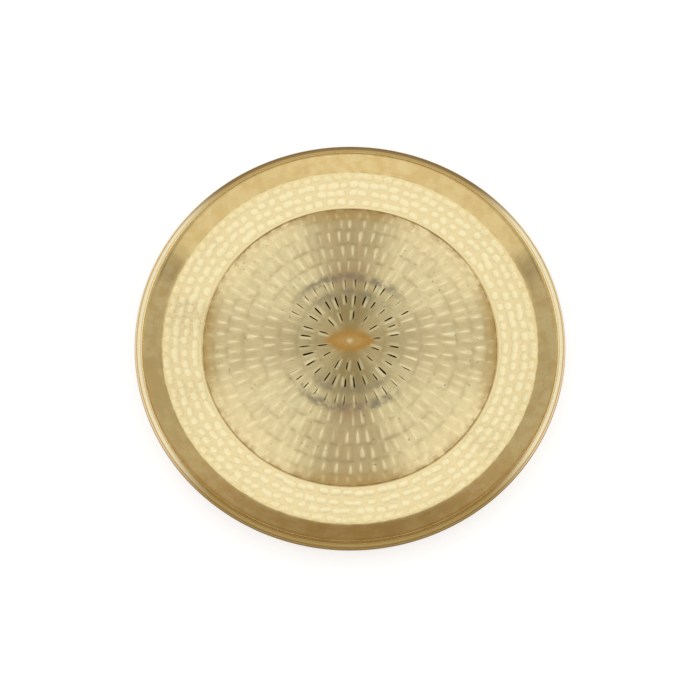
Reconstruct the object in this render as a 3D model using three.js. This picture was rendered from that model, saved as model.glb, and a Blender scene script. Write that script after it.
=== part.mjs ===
import * as THREE from "three";

// A shallow round brass tray. One sheet is sunk and spun into a flat floor, a small step, a sloping wall
// and a steeper collar, and the edge of the collar is rolled over a ring of wire.
// Millimetres, +Z up. The origin is the middle of the floor's underside, which the tray stands on.

// Driving dimensions
const RIM_DIAMETER = 305; // over the rolled edge
const HEIGHT = 18;
const SHEET = 0.9; // thickness of the brass
const BEAD_DIAMETER = 6; // over the rolled edge's own section
const WIRE_DIAMETER = 3.5;
const WIRE_END_GAP = 1; // between the two butted ends of the wire
const LIP_GAP = 0.5; // between the free lip of the roll and the collar
const FLOOR_RADIUS = 106.2;
const STEP_RUN = 0.9; // the step that sets the floor down from the foot of the wall
const STEP_RISE = 1.0;
const WALL_TOP_RADIUS = 134.3; // the bend where the wall turns up into the collar
const WALL_TOP_HEIGHT = 9.0;
const COLLAR_SLOPE = THREE.MathUtils.degToRad(28);

// How softly each corner of the sheet is rounded: the floor's edge, the foot of the wall and the bend
const CORNER_CUTS = [0.4, 0.4, 1.2];
const CORNER_STEPS = 2;

// Facets
const SIDES_AROUND = 96;
const ROLL_STEPS = 3; // in each quarter turn of the rolled edge
const WIRE_SIDES = 10;

const BEAD_RADIUS = BEAD_DIAMETER / 2;
const CURL_RADIUS = BEAD_RADIUS - SHEET;
const BEAD_CENTRE = new THREE.Vector2(RIM_DIAMETER / 2 - BEAD_RADIUS, HEIGHT - BEAD_RADIUS);

const BRASS = { color: 0xd9bf84, roughness: 0.25, metalness: 1 };
const GALVANISED_STEEL = { color: 0x9a9c9c, roughness: 0.5, metalness: 1 };

// The point at a distance from one point on the way to another.
function towards(from, to, distance) {
  return to.clone().sub(from).setLength(distance).add(from);
}

// The right-hand side of the way from one point to another, which is the sheet's underside.
function rightOf(from, to) {
  const way = to.clone().sub(from).normalize();
  return new THREE.Vector2(way.y, -way.x);
}

// The corner one sheet thickness below both sides of a corner on the upper face.
function cornerBelow(before, corner, after) {
  const first = rightOf(before, corner);
  const middle = first.clone().add(rightOf(corner, after)).normalize();
  return corner.clone().addScaledVector(middle, SHEET / middle.dot(first));
}

// A line through the corners, with each inner corner rounded off.
function roundedLine(corners, cuts) {
  const path = new THREE.Path();
  path.moveTo(corners[0].x, corners[0].y);
  for (let i = 1; i < corners.length - 1; i++) {
    const start = towards(corners[i], corners[i - 1], cuts[i - 1]);
    const end = towards(corners[i], corners[i + 1], cuts[i - 1]);
    path.lineTo(start.x, start.y);
    path.quadraticCurveTo(corners[i].x, corners[i].y, end.x, end.y);
  }
  path.lineTo(corners.at(-1).x, corners.at(-1).y);
  return path.getPoints(CORNER_STEPS);
}

// Points round the middle of the roll, through each of the angles, with even steps between them.
function rollPoints(radius, angles) {
  const points = [];
  for (let i = 0; i <= ROLL_STEPS * (angles.length - 1); i++) {
    const from = Math.min(Math.floor(i / ROLL_STEPS), angles.length - 2);
    const angle = THREE.MathUtils.lerp(angles[from], angles[from + 1], i / ROLL_STEPS - from);
    const offset = new THREE.Vector2(Math.cos(angle), Math.sin(angle)).multiplyScalar(radius);
    points.push(offset.add(BEAD_CENTRE));
  }
  return points;
}

// The sheet's section: out along the underside, round the inside of the roll to its lip, back over the
// outside of the roll and home along the upper face. The slit between the lip and the collar stays open.
function sheetSection() {
  const middle = new THREE.Vector2(0, SHEET);
  const floorEdge = new THREE.Vector2(FLOOR_RADIUS, SHEET);
  const wallFoot = new THREE.Vector2(FLOOR_RADIUS + STEP_RUN, SHEET + STEP_RISE);
  const bend = new THREE.Vector2(WALL_TOP_RADIUS, WALL_TOP_HEIGHT);
  const collarUp = new THREE.Vector2(Math.cos(COLLAR_SLOPE), Math.sin(COLLAR_SLOPE));
  const alongCollar = bend.clone().add(collarUp);

  // Where the collar's two faces and the lip meet the roll, as angles about its middle
  const collarNormal = COLLAR_SLOPE + Math.PI / 2;
  const upperOffset = BEAD_CENTRE.clone().sub(bend).dot(rightOf(bend, alongCollar));
  const lowerOffset = upperOffset - SHEET;
  const upperMeets = collarNormal + Math.acos(upperOffset / BEAD_RADIUS);
  const lowerMeets = collarNormal + Math.acos(lowerOffset / CURL_RADIUS);
  const lip = collarNormal + Math.acos((lowerOffset - LIP_GAP) / BEAD_RADIUS) - 2 * Math.PI;

  // Both faces of the roll pass through its top, its outermost and its lowest point
  const rollInside = rollPoints(CURL_RADIUS, [lowerMeets, Math.PI / 2, 0, -Math.PI / 2, lip]);
  const rollOutside = rollPoints(BEAD_RADIUS, [lip, -Math.PI / 2, 0, Math.PI / 2, upperMeets]);
  const lowerCorners = [
    new THREE.Vector2(0, 0),
    cornerBelow(middle, floorEdge, wallFoot),
    cornerBelow(floorEdge, wallFoot, bend),
    cornerBelow(wallFoot, bend, alongCollar),
    rollInside[0],
  ];
  const upperCorners = [middle, floorEdge, wallFoot, bend, rollOutside.at(-1)];
  const underside = roundedLine(lowerCorners, CORNER_CUTS);
  const upperFace = roundedLine(upperCorners, CORNER_CUTS).reverse();
  return [...underside, ...rollInside.slice(1), ...rollOutside, ...upperFace.slice(1)];
}

function makeTraySheet() {
  const geometry = new THREE.LatheGeometry(sheetSection(), SIDES_AROUND);
  geometry.rotateX(Math.PI / 2);
  const mesh = new THREE.Mesh(geometry, new THREE.MeshStandardMaterial(BRASS));
  mesh.name = "tray_sheet";
  return mesh;
}

// The wire's centre line: a full turn less the gap between its ends, which meet at the back.
class WireRing extends THREE.Curve {
  getPoint(t, target = new THREE.Vector3()) {
    const gapAngle = WIRE_END_GAP / BEAD_CENTRE.x;
    const angle = Math.PI / 2 + gapAngle / 2 + t * (2 * Math.PI - gapAngle);
    return target.set(BEAD_CENTRE.x * Math.cos(angle), BEAD_CENTRE.x * Math.sin(angle), BEAD_CENTRE.y);
  }
}

function makeRimWire() {
  const section = new THREE.Shape().absarc(0, 0, WIRE_DIAMETER / 2, 0, 2 * Math.PI);
  const geometry = new THREE.ExtrudeGeometry(section, {
    steps: SIDES_AROUND,
    curveSegments: WIRE_SIDES / 2,
    extrudePath: new WireRing(),
  });
  const mesh = new THREE.Mesh(geometry, new THREE.MeshStandardMaterial(GALVANISED_STEEL));
  mesh.name = "rim_wire";
  return mesh;
}

const tray = new THREE.Group();
tray.add(makeTraySheet(), makeRimWire());

export default tray;
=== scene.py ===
"""A hammered round brass tray with a wired edge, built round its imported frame."""

import math
import random
from collections import namedtuple

import bpy
import numpy as np
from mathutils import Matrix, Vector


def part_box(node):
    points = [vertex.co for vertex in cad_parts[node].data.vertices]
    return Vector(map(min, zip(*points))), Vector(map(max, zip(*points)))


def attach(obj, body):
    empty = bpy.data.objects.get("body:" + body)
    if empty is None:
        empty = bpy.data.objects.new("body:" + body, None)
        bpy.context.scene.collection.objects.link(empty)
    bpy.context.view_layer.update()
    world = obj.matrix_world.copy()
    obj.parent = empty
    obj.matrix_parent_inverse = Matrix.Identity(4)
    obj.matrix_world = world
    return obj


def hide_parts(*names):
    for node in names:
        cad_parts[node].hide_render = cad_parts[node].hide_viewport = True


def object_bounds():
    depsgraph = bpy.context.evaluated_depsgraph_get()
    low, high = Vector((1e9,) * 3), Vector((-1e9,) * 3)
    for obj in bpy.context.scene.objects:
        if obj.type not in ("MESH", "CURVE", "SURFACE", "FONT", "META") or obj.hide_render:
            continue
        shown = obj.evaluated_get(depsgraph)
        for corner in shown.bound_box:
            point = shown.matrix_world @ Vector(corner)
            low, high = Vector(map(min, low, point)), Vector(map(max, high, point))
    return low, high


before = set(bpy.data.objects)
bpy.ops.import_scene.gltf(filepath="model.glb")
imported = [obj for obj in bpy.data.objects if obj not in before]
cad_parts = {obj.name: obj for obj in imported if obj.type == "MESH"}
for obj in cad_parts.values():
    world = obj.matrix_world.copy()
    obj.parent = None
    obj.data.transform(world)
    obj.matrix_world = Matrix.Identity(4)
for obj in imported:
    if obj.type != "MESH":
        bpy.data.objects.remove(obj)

bl_info = {
    "name": "Hammered Brass Tray",
    "version": (1, 0, 0),
    "blender": (4, 5, 0),
    "location": "3D View > Sidebar > Tray",
    "description": "Makes a beaten brass tray with a wired edge, and a pale studio for it",
    "category": "Object",
}

MM = 0.001
FULL_TURN = 2 * math.pi

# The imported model's box, and what it gives of the rolled edge and the wire inside it. The roll's ring is the
# circle through the middle of the roll.
CAD_LOW, CAD_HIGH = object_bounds()
WIRE_LOW, WIRE_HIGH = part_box("rim_wire")
CLEAR = 0.001 * MM  # keeps the sheet just inside that box
RIM_RADIUS = CAD_HIGH.x - CLEAR
RIM_HEIGHT = CAD_HIGH.z - CLEAR
WIRE_RADIUS = (WIRE_HIGH.z - WIRE_LOW.z) / 2
ROLL_Z = (WIRE_HIGH.z + WIRE_LOW.z) / 2
ROLL_RADIUS = RIM_HEIGHT - ROLL_Z
ROLL_RING = RIM_RADIUS - ROLL_RADIUS

# Rings of radial peen marks on the floor, from the middle outwards: outer radius, number of marks, and
# half width, depth and darkness of each mark's bottom
Ring = namedtuple("Ring", "outer count half_width depth darkness")
SPOT_RADIUS = 13.6 * MM  # inside the first ring
FLOOR_RINGS = (
    Ring(25.1 * MM, 14, 0.55 * MM, 0.42 * MM, 1.0),
    Ring(38.4 * MM, 28, 0.55 * MM, 0.42 * MM, 1.0),
    Ring(51.5 * MM, 38, 0.55 * MM, 0.34 * MM, 0.75),
    Ring(64.7 * MM, 50, 1.45 * MM, 0.26 * MM, 0.0),
    Ring(77.5 * MM, 56, 1.70 * MM, 0.30 * MM, 0.0),
    Ring(89.4 * MM, 64, 1.80 * MM, 0.32 * MM, 0.0),
    Ring(99.1 * MM, 70, 1.80 * MM, 0.32 * MM, 0.0),
    Ring(105.6 * MM, 75, 1.70 * MM, 0.28 * MM, 0.0),
)
SEAM_DEPTH = 0.03 * MM  # of the faint groove between two rings
# A dirty ring that ends beyond this radius has clean marks toward +X and -X, over more of the ring the
# further out it ends
CLEAN_SIDES_FROM = 38.4 * MM
CLEAN_SIDES_GROWTH = 0.027 / MM

# Rows of oval dimples on the wall: radius and number of dimples
WALL_ROWS = (
    (111.7 * MM, 86),
    (118.5 * MM, 90),
    (124.8 * MM, 98),
    (130.9 * MM, 104),
)
LONG_DIMPLES = 0.15  # the share of dimples that two blows have made longer
SQUARENESS = 2.5  # of a dimple's outline: 2 is an ellipse, and more is squarer

COLUMNS = 240  # round the plain parts of the sheet and the wire
FINE_RADIUS = 51.0 * MM  # the hammered face has more columns, most of all from here out to the bend
OUTER_CUTS = 3  # in each column's level edges beyond that radius
INNER_CUTS = 1  # and within it
TABLE_WIDTH = 8.0  # wide enough to reach past any view


def unit(vector):
    return vector / np.linalg.norm(vector)


def smoothstep(low, high, x):
    t = np.clip((x - low) / (high - low), 0, 1)
    return t * t * (3 - 2 * t)


def right_of(start, end):
    """The unit vector to the right of the way from start to end, which is out of the sheet's underside."""
    x, z = unit(np.subtract(end, start))
    return np.array((z, -x))


class TraySheetSettings(bpy.types.PropertyGroup):
    thickness: bpy.props.FloatProperty(
        name="Sheet", description="Thickness of the brass", default=0.9 * MM, unit="LENGTH"
    )
    floor_radius: bpy.props.FloatProperty(
        name="Floor Radius", description="Radius of the flat floor", default=106.2 * MM, unit="LENGTH"
    )
    step_run: bpy.props.FloatProperty(
        name="Step Run", description="Width of the step round the floor", default=0.9 * MM, unit="LENGTH"
    )
    step_rise: bpy.props.FloatProperty(
        name="Step Rise", description="Height of the step round the floor", default=1.0 * MM, unit="LENGTH"
    )
    bend_radius: bpy.props.FloatProperty(
        name="Bend Radius", description="Radius at which the wall turns up into the collar",
        default=134.3 * MM, unit="LENGTH",
    )
    bend_height: bpy.props.FloatProperty(
        name="Bend Height", description="Height of the bend above the table", default=9.0 * MM, unit="LENGTH"
    )
    collar_slope: bpy.props.FloatProperty(
        name="Collar Slope", description="Rise of the collar above the level",
        default=math.radians(28), subtype="ANGLE",
    )
    lip_gap: bpy.props.FloatProperty(
        name="Lip Gap", description="Slit between the roll's free lip and the collar", default=0.5 * MM,
        unit="LENGTH",
    )
    crown: bpy.props.FloatProperty(
        name="Crown", description="Rise of the middle of the floor over its edge", default=0.3 * MM,
        unit="LENGTH",
    )
    dimple_depth: bpy.props.FloatProperty(
        name="Dimple Depth", description="Depth of the wall's hammer dimples", default=0.15 * MM,
        unit="LENGTH",
    )
    seed: bpy.props.IntProperty(
        name="Hand", description="Changes how the hammer marks stray from their rows", default=7
    )


# ---------------------------------------------------------------- section of the sheet


def rounded_line(corners, cuts, steps):
    """Points on a line through the corners, with each inner corner rounded off by a curve."""
    corners = [np.array(c, float) for c in corners]
    points = [corners[0]]
    for before, corner, after, cut in zip(corners, corners[1:], corners[2:], cuts):
        start = corner + cut * unit(before - corner)
        end = corner + cut * unit(after - corner)
        for i in range(steps + 1):
            t = i / steps
            points.append((1 - t) ** 2 * start + 2 * t * (1 - t) * corner + t * t * end)
    points.append(corners[-1])
    return points


def filled_in(points, spacing):
    """The same line with more points, no further apart than spacing."""
    made = [points[0]]
    for start, end in zip(points, points[1:]):
        steps = max(1, math.ceil(np.linalg.norm(end - start) / spacing))
        made += [start + (end - start) * i / steps for i in range(1, steps + 1)]
    return made


def roll_points(radius, angles, steps):
    """Points about the middle of the roll, through each of the angles."""
    turned = []
    for start, end in zip(angles, angles[1:]):
        turned += [start + (end - start) * i / steps for i in range(steps)]
    turned.append(angles[-1])
    centre = np.array((ROLL_RING, ROLL_Z))
    return [centre + radius * np.array((math.cos(a), math.sin(a))) for a in turned]


def crowned(points, s):
    """The same line with the middle of the floor raised a little."""
    return [np.array((x, z + s.crown * (1 - smoothstep(0, s.floor_radius, x)))) for x, z in points]


def corner_below(before, corner, after, thickness):
    first = right_of(before, corner)
    middle = unit(first + right_of(corner, after))
    return np.array(corner) + middle * thickness / middle.dot(first)


def sheet_section(s):
    """The sheet's section as two lines of (radius, height): the upper face out to the roll's lip, and the
    underside from the lip home. They share their ends on the lip."""
    bend = np.array((s.bend_radius, s.bend_height))
    up_collar = bend + np.array((math.cos(s.collar_slope), math.sin(s.collar_slope)))
    out = right_of(bend, up_collar)
    centre = np.array((ROLL_RING, ROLL_Z))
    inner_radius = ROLL_RADIUS - s.thickness
    normal_angle = s.collar_slope + math.pi / 2
    upper_offset = (centre - bend).dot(out)
    lower_offset = upper_offset - s.thickness
    upper_meets = normal_angle + math.acos(upper_offset / ROLL_RADIUS)
    lower_meets = normal_angle + math.acos(lower_offset / inner_radius)
    lip = normal_angle + math.acos((lower_offset - s.lip_gap) / ROLL_RADIUS) - FULL_TURN
    quarters = (math.pi / 2, 0, -math.pi / 2)
    roll_outside = roll_points(ROLL_RADIUS, (upper_meets, *quarters, lip), 8)
    roll_inside = roll_points(inner_radius, (lip, *reversed(quarters), lower_meets), 2)

    floor_edge = (s.floor_radius, s.thickness)
    wall_foot = (s.floor_radius + s.step_run, s.thickness + s.step_rise)
    ring_edges = [(SPOT_RADIUS, s.thickness)] + [(ring.outer, s.thickness) for ring in FLOOR_RINGS]
    cuts = (0.4 * MM, 0.4 * MM, 0.7 * MM)
    edge_and_wall = rounded_line((ring_edges[-1], floor_edge, wall_foot, bend, roll_outside[0]), cuts, 3)
    floor = filled_in([np.array(p) for p in [(0, s.thickness), *ring_edges]], 2.0 * MM)
    into_roll = rounded_line((edge_and_wall[-2], roll_outside[0], roll_outside[1]), (0.45 * MM,), 3)
    collar = filled_in(into_roll[:2], 2.5 * MM)
    wall = filled_in(edge_and_wall[1:-1], 1.15 * MM)
    upper = floor + wall + collar[1:] + into_roll[2:] + roll_outside[2:]

    lower_corners = (
        (0, CLEAR),
        corner_below(ring_edges[-1], floor_edge, wall_foot, s.thickness),
        corner_below(floor_edge, wall_foot, bend, s.thickness),
        corner_below(wall_foot, bend, up_collar, s.thickness),
        roll_inside[-1],
    )
    lower = filled_in(rounded_line(lower_corners, cuts, 2), 4.0 * MM)
    return crowned(upper, s), crowned(roll_inside[1:] + lower[::-1][1:], s)


# ---------------------------------------------------------------- modelling helpers


def in_edit_mode(piece):
    bpy.ops.object.select_all(action="DESELECT")
    bpy.context.view_layer.objects.active = piece
    piece.select_set(True)
    bpy.ops.object.mode_set(mode="EDIT")


def in_object_mode():
    bpy.ops.object.mode_set(mode="OBJECT")


def drawn_line(name, points):
    """A line of edges in the XZ plane, drawn by extruding one vertex from point to point."""
    bpy.ops.object.select_all(action="DESELECT")
    bpy.ops.mesh.primitive_plane_add(size=MM)
    piece = bpy.context.object
    piece.name = name
    piece.data.name = name
    in_edit_mode(piece)
    bpy.ops.mesh.select_all(action="SELECT")
    bpy.ops.mesh.merge(type="CENTER")
    x, z = points[0]
    bpy.ops.transform.translate(value=(x, 0, z))
    for (x0, z0), (x1, z1) in zip(points, points[1:]):
        bpy.ops.mesh.extrude_region_move(TRANSFORM_OT_translate={"value": (x1 - x0, 0, z1 - z0)})
    in_object_mode()
    return piece


def spun(piece):
    """Spins the piece's edges a full turn about the upright axis, into a closed skin."""
    in_edit_mode(piece)
    bpy.ops.mesh.select_all(action="SELECT")
    bpy.ops.mesh.spin(steps=COLUMNS, angle=FULL_TURN, center=(0, 0, 0), axis=(0, 0, 1))
    bpy.ops.mesh.select_all(action="SELECT")
    bpy.ops.mesh.remove_doubles(threshold=0.01 * MM)
    bpy.ops.mesh.normals_make_consistent(inside=False)
    in_object_mode()


def places(piece):
    """The piece's vertices as an array of points."""
    flat = np.empty(len(piece.data.vertices) * 3)
    piece.data.vertices.foreach_get("co", flat)
    return flat.reshape(-1, 3)


def keep_values(piece, name, values):
    """Stores a number for each vertex, under a name that the piece's material reads."""
    attribute = piece.data.attributes.new(name, "FLOAT", "POINT")
    attribute.data.foreach_set("value", np.asarray(values, np.float32))


def kept_values(piece, name):
    values = np.empty(len(piece.data.vertices), np.float32)
    piece.data.attributes[name].data.foreach_get("value", values)
    return values


def cut_level_edges(piece, chosen, cuts):
    """Cuts the edges that run round the piece between the vertices that chosen marks."""
    mesh = piece.data
    ends = np.empty(len(mesh.edges) * 2, np.int64)
    mesh.edges.foreach_get("vertices", ends)
    first, second = ends[::2], ends[1::2]
    points = places(piece)
    rings = np.column_stack((np.hypot(points[:, 0], points[:, 1]), points[:, 2]))
    level = np.abs(rings[first] - rings[second]).max(axis=1) < 0.01 * MM
    bpy.context.tool_settings.mesh_select_mode = (False, True, False)
    mesh.polygons.foreach_set("select", np.zeros(len(mesh.polygons), bool))
    mesh.vertices.foreach_set("select", np.zeros(len(mesh.vertices), bool))
    mesh.edges.foreach_set("select", level & chosen[first] & chosen[second])
    in_edit_mode(piece)
    bpy.ops.mesh.subdivide(number_cuts=cuts)
    in_object_mode()


def pushed_down(piece, depths):
    """Lowers each vertex by its own depth, through a weighted Displace modifier."""
    deepest = float(depths.max())
    group = piece.vertex_groups.new(name="depth")
    for i in np.flatnonzero(depths > 0):
        group.add([int(i)], float(depths[i]) / deepest, "REPLACE")
    bpy.context.view_layer.objects.active = piece
    bpy.ops.object.modifier_add(type="DISPLACE")
    push = piece.modifiers[-1]
    push.direction = "Z"
    push.mid_level = 0
    push.strength = -deepest
    push.vertex_group = group.name
    bpy.ops.object.modifier_apply(modifier=push.name)
    piece.vertex_groups.clear()


def finished(piece, material, stands_for, smooth_angle):
    """Smooths the piece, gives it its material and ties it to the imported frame."""
    bpy.ops.object.shade_smooth_by_angle(angle=math.radians(smooth_angle))
    piece.data.materials.clear()
    piece.data.materials.append(material)
    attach(piece, "root")
    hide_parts(stands_for)


# ---------------------------------------------------------------- hammer marks


def across_and_along(points, angle):
    """The points' distances across and along the line from the middle of the tray at that angle."""
    along = points[:, 0] * math.cos(angle) + points[:, 1] * math.sin(angle)
    across = points[:, 1] * math.cos(angle) - points[:, 0] * math.sin(angle)
    return across, along


def mark_values(hand, here, ring, inner, angle, spread):
    """What one peen mark of a ring does at each point: how deep it is, how bright the painted highlight on its
    flank, how dark the painted shade beside it and how dirty its bottom, each from 0 to about 1."""
    darkness = ring.darkness
    middle = (inner + ring.outer) / 2 + hand.uniform(-0.6, 0.6) * MM
    half_length = (ring.outer - inner) / 2 * hand.uniform(0.78, 0.97)
    width = ring.half_width * spread * hand.uniform(0.8, 1.2)
    strength = hand.uniform(0.65, 1.0)
    across, along = across_and_along(here, angle)
    across = across - hand.uniform(-0.05, 0.05) * (along - middle)
    v = (along - middle) / half_length
    outwards = np.clip(v, -1, 1)
    ends = (1 - smoothstep(0.65, 1.05, np.abs(v))) * (along > 0)
    groove = strength * np.exp(-((across / (width * (1 + 0.35 * outwards))) ** 2)) * ends

    # A painted highlight lies on one flank: a comet with its head outwards, or a wide pale cell beside a dirty
    # mark
    lean = hand.choice((-1, 1))
    side = lean * (0.35 + 2.8 * darkness) * width
    narrow = (0.6 + 1.7 * darkness) * width * (1 + (0.6 - 0.3 * darkness) * outwards)
    comet = ends * (1 - (1 - darkness) * (1 - smoothstep(-1.2, 0.0, v)))
    glint = strength * hand.uniform(0.5, 1.25) * (1 - 0.35 * darkness)
    flank = glint * np.exp(-(((across - side) / narrow) ** 2)) * comet

    # Painted shade lies along the other flank
    shade_across = (across + 0.8 * lean * width) / (0.8 * (1 + darkness) * width)
    film = hand.uniform(0.3, 1.0) * (np.exp(-(shade_across**2)) * ends)
    slit = np.zeros(len(here))
    if darkness and abs(math.sin(angle)) > (ring.outer - CLEAN_SIDES_FROM) * CLEAN_SIDES_GROWTH:
        short = 1 - smoothstep(0.4, 0.9, np.abs(v - 0.12))
        slit = groove * short * darkness * hand.uniform(0.75, 1.0)
    return groove, flank, film, slit


def floor_relief(points, seed, spread):
    """How deep the floor is hammered at each point, how bright the painted highlight on each mark's flank is,
    how dark the painted shade beside each mark is, how much dirt lies there, and how near it is to the seam of
    two rings."""
    hand = random.Random(seed)
    radius = np.hypot(points[:, 0], points[:, 1])
    depth, bright, mark_shade, dark, seam = (np.zeros(len(points)) for _ in range(5))
    inner = SPOT_RADIUS
    for ring in FLOOR_RINGS:
        near = np.flatnonzero((radius > inner - 1.5 * MM) & (radius < ring.outer + 1.5 * MM))
        strongest = [np.zeros(len(near)) for _ in range(4)]
        phase = hand.random()
        for i in range(ring.count):
            angle = (i + phase + hand.uniform(-0.13, 0.13)) * FULL_TURN / ring.count
            mark = mark_values(hand, points[near], ring, inner, angle, spread)
            strongest = [np.maximum(so_far, value) for so_far, value in zip(strongest, mark)]
        grooves, flanks, films, slits = strongest
        off_seam = np.minimum(np.abs(radius[near] - inner), np.abs(radius[near] - ring.outer))
        cell = np.exp(-((off_seam / (1.3 * MM)) ** 2)) * (1 - grooves)
        depth[near] = np.maximum(depth[near], ring.depth * grooves)
        bright[near] = np.maximum(bright[near], flanks)
        mark_shade[near] = np.maximum(mark_shade[near], films * (1 - flanks))
        dark[near] = np.maximum(dark[near], slits)
        seam[near] = np.maximum(seam[near], cell)
        inner = ring.outer
    return depth + seam * SEAM_DEPTH, bright, mark_shade, dark, seam


def wall_relief(points, seed):
    """How far each point lies in one of the wall's oval dimples, from 0 to 1."""
    hand = random.Random(seed + 1)
    radius = np.hypot(points[:, 0], points[:, 1])
    dimple = np.zeros(len(points))
    for row_radius, count in WALL_ROWS:
        near = np.flatnonzero(np.abs(radius - row_radius) < 5 * MM)
        dent = np.zeros(len(near))
        phase = hand.random()
        for i in range(count):
            angle = (i + phase + hand.uniform(-0.2, 0.2)) * FULL_TURN / count
            middle = row_radius + hand.uniform(-0.7, 0.7) * MM
            half_long = math.pi * row_radius / count * hand.uniform(0.82, 1.08)
            half_wide = hand.uniform(2.4, 3.2) * MM
            if hand.random() < LONG_DIMPLES:
                half_long *= 1.4
            across, along = across_and_along(points[near], angle)
            u = np.abs(across / half_long)
            v = np.abs((along - middle + hand.uniform(-0.2, 0.2) * across) / half_wide)
            reach = (u**SQUARENESS + v**SQUARENESS) ** (1 / SQUARENESS)
            struck = hand.uniform(0.7, 1) * (1 - smoothstep(0.15, 1.15, reach)) * (along > 0)
            dent = np.maximum(dent, struck)
        dimple[near] = np.maximum(dimple[near], dent)
    return dimple


# ---------------------------------------------------------------- shader expressions


class Socket:
    """A node's output that takes part in arithmetic, adding a Math node for each operator."""

    def __init__(self, shader, output):
        self.shader = shader
        self.output = output

    def maths(self, operation, *inputs):
        return self.shader.node("ShaderNodeMath", {"operation": operation}, dict(enumerate(inputs)))

    def __add__(self, other):
        return self.maths("ADD", self, other)

    def __radd__(self, other):
        return self.maths("ADD", other, self)

    def __sub__(self, other):
        return self.maths("SUBTRACT", self, other)

    def __rsub__(self, other):
        return self.maths("SUBTRACT", other, self)

    def __mul__(self, other):
        return self.maths("MULTIPLY", self, other)

    def __rmul__(self, other):
        return self.maths("MULTIPLY", other, self)

    def __truediv__(self, other):
        return self.maths("DIVIDE", self, other)

    def __rtruediv__(self, other):
        return self.maths("DIVIDE", other, self)

    def __pow__(self, other):
        return self.maths("POWER", self, other)

    def __abs__(self):
        return self.maths("ABSOLUTE", self)

    def other(self, name):
        """Another output of the same node."""
        return Socket(self.shader, self.output.node.outputs[name])

    def rise(self, low, high):
        """A smooth rise from 0 at low to 1 at high, or a smooth fall where high is below low."""
        settings = {"interpolation_type": "SMOOTHSTEP"}
        inputs = {"Value": self, "From Min": low, "From Max": high}
        return self.shader.node("ShaderNodeMapRange", settings, inputs)

    def band(self, low, high, soft):
        """1 between low and high, fading to 0 over the soft distance outside them."""
        return self.rise(low - soft, low) * (1 - self.rise(high, high + soft))


class Shader:
    """A node tree that is filled by expressions."""

    def __init__(self, owner, output_kind="ShaderNodeOutputMaterial"):
        owner.use_nodes = True
        self.tree = owner.node_tree
        self.tree.nodes.clear()
        self.end = self.tree.nodes.new(output_kind)

    def node(self, kind, settings=None, inputs=None, output=0):
        """Adds a node, with its settings and then its inputs, and gives one of its outputs."""
        node = self.tree.nodes.new(kind)
        for name, value in (settings or {}).items():
            setattr(node, name, value)
        for name, value in (inputs or {}).items():
            if isinstance(value, Socket):
                self.tree.links.new(value.output, node.inputs[name])
            else:
                node.inputs[name].default_value = value
        return Socket(self, node.outputs[output])

    def mix(self, share, first, second):
        """A colour on the way from the first colour to the second."""
        inputs = {0: share, 6: colour_value(first), 7: colour_value(second)}
        return self.node("ShaderNodeMix", {"data_type": "RGBA"}, inputs, 2)

    def coated(self, colour, *coats):
        """The colour under coats that are laid one after another, each a share and a colour."""
        for share, coat in coats:
            colour = self.mix(share, colour, coat)
        return colour

    def vector(self, operation, inputs, output="Vector"):
        return self.node("ShaderNodeVectorMath", {"operation": operation}, inputs, output)

    def noise(self, place, scale, detail=3.0, roughness=0.5):
        inputs = {"Vector": place, "Scale": scale, "Detail": detail, "Roughness": roughness}
        return self.node("ShaderNodeTexNoise", None, inputs, "Fac")

    def attribute(self, name):
        return self.node("ShaderNodeAttribute", {"attribute_name": name}, None, "Fac")

    def bump(self, height, strength, distance):
        inputs = {"Height": height, "Strength": strength, "Distance": distance}
        return self.node("ShaderNodeBump", None, inputs, "Normal")

    def surface(self, shader):
        self.tree.links.new(shader.output, self.end.inputs["Surface"])


def colour_value(colour):
    return colour if isinstance(colour, Socket) else (*colour[:3], 1.0)


class TrayBrassSettings(bpy.types.PropertyGroup):
    polished: bpy.props.FloatVectorProperty(
        name="Polished", description="Colour of the polished collar and rolled edge", subtype="COLOR", size=3,
        default=(0.76, 0.585, 0.27),
    )
    land: bpy.props.FloatVectorProperty(
        name="Land", description="Colour of the wall between its dimples", subtype="COLOR", size=3,
        default=(0.84, 0.695, 0.375),
    )
    # The dimple colour is brass brightened by the hammer and also a painted highlight, on the wall's dimples
    # and beside the floor's marks
    dimple: bpy.props.FloatVectorProperty(
        name="Dimple", description="Colour of the brass brightened by the hammer", subtype="COLOR", size=3,
        default=(0.93, 0.81, 0.48),
    )
    floor: bpy.props.FloatVectorProperty(
        name="Floor", description="Colour of the duller floor", subtype="COLOR", size=3,
        default=(0.92, 0.775, 0.43),
    )
    tarnish: bpy.props.FloatVectorProperty(
        name="Tarnish", description="Grey-brown film over the middle of the floor", subtype="COLOR", size=3,
        default=(0.25, 0.22, 0.14),
    )
    amber: bpy.props.FloatVectorProperty(
        name="Amber", description="Orange-brown film in the middle and round the floor's edge",
        subtype="COLOR", size=3, default=(0.50, 0.27, 0.06),
    )
    dirt: bpy.props.FloatVectorProperty(
        name="Dirt", description="Dirt in the bottom of the deepest marks", subtype="COLOR", size=3,
        default=(0.012, 0.010, 0.006),
    )


# Colours of worn, dulled and stained brass, and of painted highlights, reflections and shade, that the
# settings leave alone
WORN = (0.68, 0.49, 0.20)
RUBBED = (0.56, 0.38, 0.15)
SHOULDER_SHADE = (0.60, 0.44, 0.19)
# Painted reflections on the rolled edge: shade at the near and far side, highlight at the sides
EDGE_NEAR_SHADE = (0.38, 0.25, 0.08)
EDGE_FAR = (0.78, 0.58, 0.24)
EDGE_FAR_OUTSIDE_SHADE = (0.27, 0.17, 0.06)
EDGE_SIDE_GLINT = (1.0, 0.88, 0.56)
EDGE_SIDE_OUTSIDE = (0.78, 0.56, 0.29)
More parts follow.
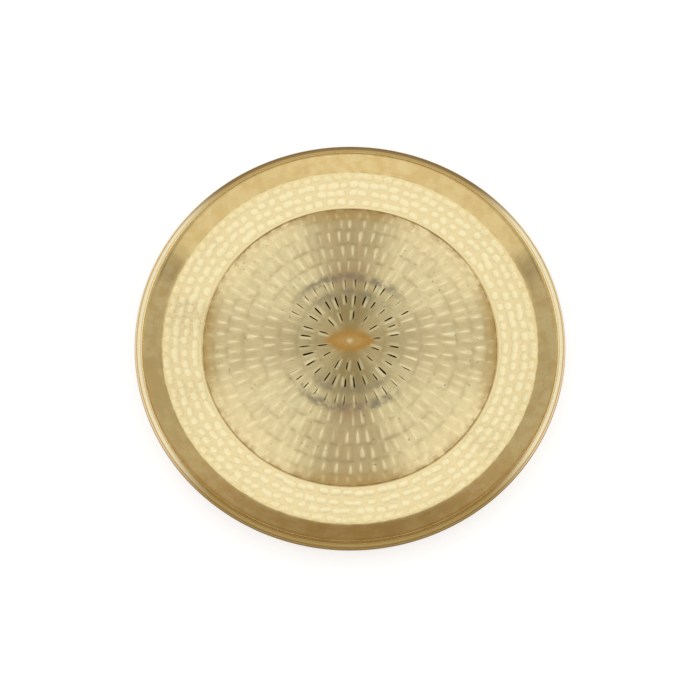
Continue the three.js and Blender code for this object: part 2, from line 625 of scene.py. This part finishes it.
# painted shade round the outermost edge
EDGE_OUTLINE_SHADE = (0.14, 0.08, 0.03)
WALL_SHADE = (0.58, 0.45, 0.23)
WALL_YELLOW = (0.80, 0.62, 0.27)
BEND_DARK_LINE = (0.42, 0.29, 0.11)
FLOOR_CLOUD = (0.66, 0.51, 0.24)
FLOOR_SHADE = (0.46, 0.34, 0.155)
FLOOR_MIDDLE_SHADE = (0.33, 0.25, 0.11)
FLOOR_WARMTH = (0.42, 0.29, 0.10)
FLOOR_GOLD_GLINT = (1.0, 0.82, 0.44)
FLANK_SHADE = (0.40, 0.30, 0.13)
SEAM_SHADE = (0.42, 0.32, 0.15)
RUST = (0.38, 0.23, 0.13)
SPECK = (0.22, 0.17, 0.09)
THIN_AMBER = (0.58, 0.36, 0.11)
RIM_AMBER = (0.50, 0.33, 0.11)
RIM_BROWN = (0.46, 0.28, 0.09)
CREASE_DARK_LINE = (0.20, 0.12, 0.05)
UNDER_LIGHT = (0.52, 0.38, 0.18)
UNDER_DARK = (0.43, 0.30, 0.13)


class TrayPlace:
    """Where a point lies on the tray, in millimetres and as shares from 0 to 1, with the noises and the
    stored hammer marks there."""

    def __init__(self, shader, s):
        place = shader.node("ShaderNodeTexCoord", None, None, "Object")
        place = shader.vector("SCALE", {0: place, "Scale": 1 / MM})
        self.x = shader.node("ShaderNodeSeparateXYZ", None, {0: place}, "X")
        self.y = self.x.other("Y")
        level = shader.node("ShaderNodeCombineXYZ", None, {0: self.x, 1: self.y})
        self.radius = shader.vector("LENGTH", {0: level}, "Value")
        self.heading = shader.vector("NORMALIZE", {0: level})

        self.floor_edge = s.floor_radius / MM
        self.bend = s.bend_radius / MM
        self.rim = RIM_RADIUS / MM
        self.roll = ROLL_RING / MM
        self.on_floor = 1 - self.radius.rise(self.floor_edge - 0.6, self.floor_edge + 0.6)
        self.on_wall = self.radius.band(self.floor_edge + 1, self.bend, 0.4)
        self.on_edge = self.radius.rise(self.rim - 6.3, self.rim - 4.9)

        self.back = self.y / self.radius
        self.share_y = self.y * self.y / (self.radius * self.radius + 1)
        self.toward_y = self.share_y.rise(0.45, 0.95)
        self.toward_x = (self.x * self.x / (self.radius * self.radius + 1)).rise(0.35, 0.75)
        self.off_axes = (self.x * self.x * self.y * self.y / (self.radius**4 + 1)).rise(0.0, 0.2)

        self.cloud = shader.noise(place, 0.03, 4, 0.55)
        self.blotch = shader.noise(place, 0.12, 4, 0.6)
        self.mottle = shader.noise(place, 0.45, 4, 0.65)
        self.grain = shader.noise(place, 1.6, 3, 0.6)
        self.speck = shader.noise(place, 0.4, 0, 0.5).rise(0.79, 0.85) * self.on_floor
        self.streak = shader.noise(self.heading, 2.2, 3, 0.5)

        self.bright = shader.attribute("bright")
        self.mark_shade = shader.attribute("mark_shade")
        self.dark = shader.attribute("dark")
        self.seam = shader.attribute("seam")
        self.dimple = shader.attribute("dimple")
        self.under = shader.attribute("under")


def collar_colour(shader, at, look):
    """Polished brass, worn in clouds and wiped round and round, with painted shade on the far diagonals."""
    turns = shader.vector("MULTIPLY", {0: at.heading, 1: (9, 9, 9)})
    rubbed = shader.noise(turns, 1.0, 4, 0.6)
    outwards = shader.node("ShaderNodeCombineXYZ", None, {2: at.radius * 0.7})
    wiped = shader.noise(shader.vector("ADD", {0: turns, 1: outwards}), 1.0, 4, 0.65)
    return shader.coated(
        look.polished,
        ((at.cloud + at.blotch).rise(0.8, 1.2), WORN),
        (rubbed.rise(0.5, 0.7) * 0.3 + wiped.rise(0.5, 0.75) * 0.35, RUBBED),
        # painted shade on the collar toward the far diagonals
        (at.off_axes * at.back.rise(0.1, 0.7) * 0.3, SHOULDER_SHADE),
    )


def edge_painted_reflection(shader, at):
    """The rolled edge with painted reflections: a painted highlight at the sides and painted shade, browner,
    at the near and far side.
    """
    far_outside = at.radius.rise(at.roll - 2.2, at.roll - 0.8)
    far = shader.mix(far_outside, EDGE_FAR, EDGE_FAR_OUTSIDE_SHADE)
    side_outside = at.radius.rise(at.roll + 0.1, at.roll + 0.9)
    side = shader.mix(side_outside * 0.8, EDGE_SIDE_GLINT, EDGE_SIDE_OUTSIDE)
    near_to_far = shader.mix(at.back.rise(0.0, 0.6), EDGE_NEAR_SHADE, far)
    return shader.mix(at.toward_x, near_to_far, side)


def wall_colour(shader, at, look):
    """Land and pale dimples, the pale partly painted highlight, each dimple with a faint painted shade round
    it, under thin painted darker streaks.
    """
    outline = at.dimple.rise(0.0, 0.1) * (1 - at.dimple.rise(0.12, 0.4)) * at.mottle.rise(0.4, 0.6)
    # Painted shade: thin darker streaks running out from the middle, fewer toward +Y and -Y
    film = at.streak.rise(0.5, 0.64) * (0.35 + at.mottle.rise(0.4, 0.6) * 0.5)
    film = film * (1 - at.dimple * 0.5) * (1 - at.toward_y)
    yellow = at.radius.rise(at.bend - 9, at.bend - 1) * (0.1 + at.mottle.rise(0.4, 0.6) * 0.35)
    return shader.coated(
        look.land,
        # pale dimples, partly painted highlight
        (at.dimple.rise(0.02, 0.6), look.dimple),
        (outline * 0.22 + film * 0.6, WALL_SHADE),
        (yellow, WALL_YELLOW),
    )


def floor_colour(shader, at, look):
    """Duller brass with painted shade in the middle and toward +Y and -Y, painted highlights and shade beside
    its marks, painted shade at the ring seams and a painted golden highlight on the diagonals near the edge.
    """
    # Painted shade in the middle, most toward +Y and -Y
    middle = at.radius.rise(72, 24) * (0.5 - at.toward_y * 0.35)
    middle = middle + at.radius.rise(52, 30) * at.toward_y * 0.75
    return shader.coated(
        look.floor,
        ((at.mottle * 0.4 + at.blotch * 0.6).rise(0.4, 0.62) * 0.4, FLOOR_CLOUD),
        # painted shade along the axes, most toward +Y and -Y
        ((1 - at.off_axes) * (0.35 + at.toward_y * 0.4), FLOOR_SHADE),
        (middle, FLOOR_MIDDLE_SHADE),
        (at.radius.rise(36, 12) * 0.45, FLOOR_WARMTH),
        # painted shade beside the marks
        (at.mark_shade * (0.3 + at.toward_y * 0.2), FLANK_SHADE),
        # painted shade along the seams between rings
        (at.seam * at.blotch.rise(0.4, 0.6) * (0.3 + at.toward_y * 0.35), SEAM_SHADE),
        # painted highlights on the marks' flanks
        (at.bright.rise(0.05, 0.7) * (0.9 - at.off_axes * 0.2 - at.toward_y * 0.2), look.dimple),
        # painted golden highlight on the diagonals near the floor's edge
        (at.radius.rise(80, 102) * at.off_axes * 0.6, FLOOR_GOLD_GLINT),
    )


def smudges(at):
    """Two broken rings of grey-brown film on the floor, at the near and far side of the middle."""
    film_rings = abs(at.radius - 37.5).rise(6, 1) * 0.7 + abs(at.radius - 50.5).rise(6, 1)
    broken = (at.blotch * 0.75 + at.mottle * 0.25).rise(0.36, 0.58)
    return film_rings * broken * at.share_y.rise(0.2, 0.85) * (1 - at.under)


def middle_spot(shader, at, look):
    """The coats of the lens-shaped amber spot and its pale middle."""
    lens = abs(at.y) + at.x * at.x * 0.028 + at.mottle * 7
    amber = shader.mix(lens.rise(11.0, 6.0) * at.mottle.rise(0.3, 0.6), look.amber, THIN_AMBER)
    pip = (at.radius + at.mottle * 6).rise(6.5, 3.0)
    return (lens.rise(15.5, 9.5) * 0.95, amber), (pip * 0.6, look.dimple)


def floor_edge_films(at):
    """The coats of amber and brown toward the floor's edge, and of a darker line in its crease."""
    amber = at.radius.rise(at.floor_edge - 14, at.floor_edge - 0.5) * at.on_floor
    brown = at.radius.rise(at.floor_edge - 7, at.floor_edge - 0.5) * at.on_floor * at.blotch.rise(0.4, 0.6)
    crease = at.radius.band(at.floor_edge - 0.1, at.floor_edge + 0.1, 0.4)
    return (
        (amber * (1 - at.off_axes) * 0.75, RIM_AMBER),
        (brown * 0.45, RIM_BROWN),
        (crease * (0.15 + at.blotch.rise(0.35, 0.65) * 0.55), CREASE_DARK_LINE),
    )


def tray_brass(look, s):
    """Polished and hammered brass: pale dimples, a duller floor, dirt in the deep marks and amber films, with
    painted highlights, reflections and shade on the edge, collar, wall and floor.
    """
    material = bpy.data.materials.new("hammered_brass")
    shader = Shader(material)
    at = TrayPlace(shader, s)
    # Painted shade: a near-black outline round the outermost edge
    outline_shade = at.radius.rise(at.rim - 0.9, at.rim - 0.3)
    # A thin darker line along the bend
    bend_line = at.radius.band(at.bend - 0.1, at.bend + 0.1, 0.6) * (0.15 + at.blotch.rise(0.4, 0.6) * 0.35)
    smudge = smudges(at)
    rust = abs(at.radius - 52).rise(13, 3) * at.share_y.rise(0.9, 0.99)
    dirt = at.dark.rise(0.18, 0.5)
    colour = shader.coated(
        collar_colour(shader, at, look),
        # painted reflections and shade on the rolled edge, chosen by the side of the tray
        (at.on_edge * 0.9, edge_painted_reflection(shader, at)),
        (outline_shade * 0.85, EDGE_OUTLINE_SHADE),
        (at.on_wall, wall_colour(shader, at, look)),
        (bend_line, BEND_DARK_LINE),
        (at.on_floor, floor_colour(shader, at, look)),
        (smudge * 0.85, look.tarnish),
        (rust * 0.35, RUST),
        (at.speck * 0.5, SPECK),
        *middle_spot(shader, at, look),
        *floor_edge_films(at),
        (dirt, look.dirt),
        (at.under, shader.mix(at.blotch.rise(0.35, 0.65), UNDER_LIGHT, UNDER_DARK)),
    )
    roughness = 0.10 + at.on_wall * 0.09 + at.on_floor * 0.12 + at.on_edge * 0.14 + at.mottle * 0.06
    inputs = {
        "Base Color": colour,
        "Metallic": 1.0,
        "Roughness": roughness + smudge * 0.15 + dirt * 0.3 + at.under * 0.2,
        "Normal": shader.bump(at.grain * (1 - at.on_edge), 0.12, 0.05 * MM),
    }
    shader.surface(shader.node("ShaderNodeBsdfPrincipled", None, inputs))
    return material


def wire_steel():
    """Dull galvanised wire, with the faint crystals of its zinc."""
    material = bpy.data.materials.new("galvanised_wire")
    shader = Shader(material)
    place = shader.node("ShaderNodeTexCoord", None, None, "Object")
    crystal = shader.noise(place, 900, 3, 0.6)
    inputs = {
        "Base Color": shader.mix(crystal.rise(0.35, 0.65), (0.32, 0.33, 0.33), (0.52, 0.53, 0.53)),
        "Metallic": 1.0,
        "Roughness": 0.4 + crystal * 0.25,
    }
    shader.surface(shader.node("ShaderNodeBsdfPrincipled", None, inputs))
    return material


# ---------------------------------------------------------------- pieces


def with_fine_columns(sheet, s):
    """Cuts the hammered face into more columns, so that it can hold its marks."""
    for inner, outer, cuts in (
        (FINE_RADIUS, s.bend_radius, OUTER_CUTS),
        (SPOT_RADIUS - 0.1 * MM, FINE_RADIUS, INNER_CUTS),
    ):
        points = places(sheet)
        radius = np.hypot(points[:, 0], points[:, 1])
        on_top = kept_values(sheet, "under") < 0.5
        cut_level_edges(sheet, on_top & (radius > inner) & (radius < outer), cuts)


def hammered(sheet, s):
    """Presses the marks into the floor and wall, and keeps what the brass reads of them."""
    points = places(sheet)
    on_top = kept_values(sheet, "under") < 0.5
    depth, bright, mark_shade, dark, seam = floor_relief(points, s.seed, 1.0)
    dimple = wall_relief(points, s.seed)

    # Wider and shallower marks come through the sheet, as far as the floor is clear of the table
    clear = s.crown * (1 - smoothstep(0, s.floor_radius, np.hypot(points[:, 0], points[:, 1])))
    through = np.minimum(floor_relief(points, s.seed, 2.0)[0] * 0.5, clear)
    pushed_down(sheet, np.where(on_top, depth, through) + dimple * s.dimple_depth)
    kept = {"bright": bright, "mark_shade": mark_shade, "dark": dark, "seam": seam, "dimple": dimple}
    for name, values in kept.items():
        keep_values(sheet, name, values * on_top)


class TRAY_OT_beaten_sheet(bpy.types.Operator):
    """Spins the tray's sheet from its section, and hammers its floor and wall"""

    bl_idname = "tray.beaten_sheet"
    bl_label = "Beaten Sheet"

    def execute(self, context):
        s = context.scene.tray_sheet
        upper, lower = sheet_section(s)
        sheet = drawn_line("beaten_sheet", upper + lower)
        keep_values(sheet, "under", [0] * len(upper) + [1] * len(lower))
        spun(sheet)
        with_fine_columns(sheet, s)
        hammered(sheet, s)
        finished(sheet, tray_brass(context.scene.tray_brass, s), "tray_sheet", 35)
        return {"FINISHED"}


class RimWireSettings(bpy.types.PropertyGroup):
    end_gap: bpy.props.FloatProperty(
        name="End Gap", description="Gap between the wire's butted ends", default=1.0 * MM, unit="LENGTH"
    )


class TRAY_OT_rim_wire(bpy.types.Operator):
    """Bends the wire that the sheet's edge is rolled round"""

    bl_idname = "tray.rim_wire"
    bl_label = "Rim Wire"

    def execute(self, context):
        gap_angle = context.scene.tray_wire.end_gap / ROLL_RING
        bpy.ops.object.select_all(action="DESELECT")
        bpy.ops.mesh.primitive_circle_add(
            vertices=20, radius=WIRE_RADIUS, location=(ROLL_RING, 0, ROLL_Z), rotation=(math.pi / 2, 0, 0)
        )
        bpy.ops.object.transform_apply(location=True, rotation=True, scale=True)
        wire = bpy.context.object
        wire.name = "edge_wire"
        in_edit_mode(wire)
        bpy.ops.mesh.select_all(action="SELECT")
        bpy.ops.transform.rotate(
            value=-(math.pi / 2 + gap_angle / 2), orient_axis="Z", center_override=(0, 0, 0)
        )
        bpy.ops.mesh.spin(steps=COLUMNS, angle=FULL_TURN - gap_angle, center=(0, 0, 0), axis=(0, 0, 1))
        bpy.ops.mesh.select_all(action="SELECT")
        bpy.ops.mesh.fill_holes(sides=0)
        bpy.ops.mesh.normals_make_consistent(inside=False)
        in_object_mode()
        finished(wire, wire_steel(), "rim_wire", 40)
        return {"FINISHED"}


class StudioSettings(bpy.types.PropertyGroup):
    distance: bpy.props.FloatProperty(
        name="Distance", description="From the camera to the middle of the tray", default=724 * MM,
        unit="LENGTH",
    )
    elevation: bpy.props.FloatProperty(
        name="Elevation", description="Height of the camera over the table", default=math.radians(69.53),
        subtype="ANGLE",
    )
    lens: bpy.props.FloatProperty(
        name="Lens", description="Focal length", default=51.4, unit="CAMERA"
    )
    shift: bpy.props.FloatProperty(
        name="Shift", description="Vertical shift of the lens, as a share of the picture", default=-0.0126,
        subtype="FACTOR", min=-1, max=1,
    )


def soft_room():
    """A room of soft light: bright overhead, dimmer and warmer lower down, pale again at the horizon and
    low at the sides, with dim patches overhead and high at both sides."""
    room = bpy.data.worlds.new("soft_room")
    shader = Shader(room, "ShaderNodeOutputWorld")
    direction = shader.node("ShaderNodeTexCoord", None, None, "Generated")
    x = shader.node("ShaderNodeSeparateXYZ", None, {0: direction}, "X")
    y, height = x.other("Y"), x.other("Z")
    ceiling = (height + y * 0.08).rise(0.752, 0.785)
    toward_patch = shader.vector("DOT_PRODUCT", {0: direction, 1: (0, 0.358, 0.934)}, "Value")
    upper_wall = height.rise(0.36, 0.56)
    lower_wall = height.rise(0.42, 0.28)
    horizon = height.rise(0.26, 0.18)
    sides = (x * x).rise(0.5, 0.85) * lower_wall
    front = y.rise(-0.5, -0.9) * lower_wall
    patches = toward_patch.rise(0.951, 0.990) + abs(x).band(0.58, 0.70, 0.02) * y.band(0.03, 0.13, 0.02)
    back_ceiling = y.rise(0.5, 0.62) * height.rise(0.6, 0.7)
    wall_corners = abs(x).rise(0.2, 0.45) * height.band(0.38, 0.5, 0.06)
    light = 0.35 + upper_wall * 0.27 + ceiling * 0.42 + back_ceiling * 0.14 + wall_corners * 0.1
    light = light + sides * 0.8 + front * 0.1 + horizon * (1 - sides) * 0.7
    light = light - patches * 0.3
    whiteness = upper_wall + sides + horizon
    tint = shader.mix(whiteness, (1.0, 0.76, 0.5), (1, 1, 1))
    shader.surface(shader.node("ShaderNodeBackground", None, {"Color": tint, "Strength": light}))
    return room


class TRAY_OT_studio(bpy.types.Operator):
    """Sets the table, the soft light all round and the camera"""

    bl_idname = "tray.studio"
    bl_label = "Studio"

    def execute(self, context):
        s = context.scene.tray_studio
        bpy.ops.object.select_all(action="DESELECT")
        bpy.ops.mesh.primitive_plane_add(size=TABLE_WIDTH)
        table = bpy.context.object
        table.name = "table"
        table.data.materials.append(table_white())

        context.scene.world = soft_room()
        bpy.ops.object.camera_add(
            location=(0, -s.distance * math.cos(s.elevation), s.distance * math.sin(s.elevation)),
            rotation=(math.pi / 2 - s.elevation, 0, 0),
        )
        camera = bpy.context.object
        camera.data.lens = s.lens
        camera.data.shift_y = s.shift
        context.scene.camera = camera
        context.scene.view_settings.view_transform = "Standard"
        return {"FINISHED"}


def table_white():
    """A plain pale table top."""
    material = bpy.data.materials.new("table_white")
    shader = Shader(material)
    place = shader.node("ShaderNodeTexCoord", None, None, "Object")
    fibre = shader.noise(place, 400, 2, 0.5)
    inputs = {
        "Base Color": shader.mix(fibre, (0.54, 0.54, 0.54), (0.56, 0.56, 0.56)),
        "Roughness": 0.7,
        "Emission Color": (1, 1, 1, 1),
        "Emission Strength": 0.62,
    }
    shader.surface(shader.node("ShaderNodeBsdfPrincipled", None, inputs))
    return material


class TRAY_PT_tray(bpy.types.Panel):
    """The tray's pieces, in the order they are made"""

    bl_label = "Hammered Brass Tray"
    bl_idname = "TRAY_PT_tray"
    bl_space_type = "VIEW_3D"
    bl_region_type = "UI"
    bl_category = "Tray"

    def draw(self, context):
        for operator, group in STEPS:
            self.layout.operator(operator)
            settings = getattr(context.scene, group)
            for name in settings.bl_rna.properties.keys():
                if name not in ("rna_type", "name"):
                    self.layout.prop(settings, name)


SETTINGS = {
    "tray_sheet": TraySheetSettings,
    "tray_brass": TrayBrassSettings,
    "tray_wire": RimWireSettings,
    "tray_studio": StudioSettings,
}
OPERATORS = (TRAY_OT_beaten_sheet, TRAY_OT_rim_wire, TRAY_OT_studio)
STEPS = (
    ("tray.beaten_sheet", "tray_sheet"),
    ("tray.rim_wire", "tray_wire"),
    ("tray.studio", "tray_studio"),
)


def register():
    for kind in (*SETTINGS.values(), *OPERATORS, TRAY_PT_tray):
        bpy.utils.register_class(kind)
    for name, kind in SETTINGS.items():
        setattr(bpy.types.Scene, name, bpy.props.PointerProperty(type=kind))


def unregister():
    for name in SETTINGS:
        delattr(bpy.types.Scene, name)
    for kind in reversed((*SETTINGS.values(), *OPERATORS, TRAY_PT_tray)):
        bpy.utils.unregister_class(kind)


def main():
    register()
    bpy.ops.tray.beaten_sheet()
    bpy.ops.tray.rim_wire()
    bpy.ops.tray.studio()


if __name__ == "__main__":
    main()
